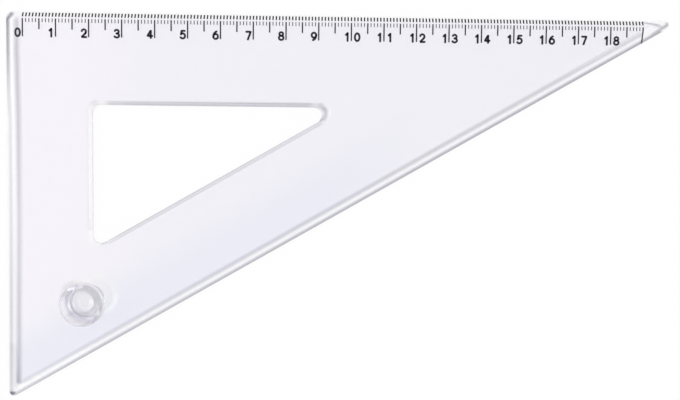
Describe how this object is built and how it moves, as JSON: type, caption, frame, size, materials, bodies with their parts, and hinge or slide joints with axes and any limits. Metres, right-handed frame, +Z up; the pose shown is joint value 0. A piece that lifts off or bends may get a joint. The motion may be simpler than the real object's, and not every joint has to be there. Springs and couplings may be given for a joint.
{
  "type": "set square",
  "caption": "Clear plastic 30/60/90 set square with bevelled edges, a printed millimetre scale, a triangular cut-out and a flared lifting knob.",
  "frame": {"origin": "centre of the bounding box, on the underside that lies on the paper", "axes": "+X along the graduated long leg towards the pointed end, +Y from the 60 degree corner towards the scale, +Z up out of the printed face"},
  "size_m": [0.2036, 0.1188, 0.012],
  "materials": {
    "clear_plastic": "clear polished polystyrene",
    "black_ink": "flat printed ink"
  },
  "bodies": {
    "root": {"plate": "clear_plastic", "lifting_knob": "clear_plastic", "millimetre_marks": "black_ink", "half_centimetre_marks": "black_ink", "centimetre_marks": "black_ink"}
  },
  "joints": []
}
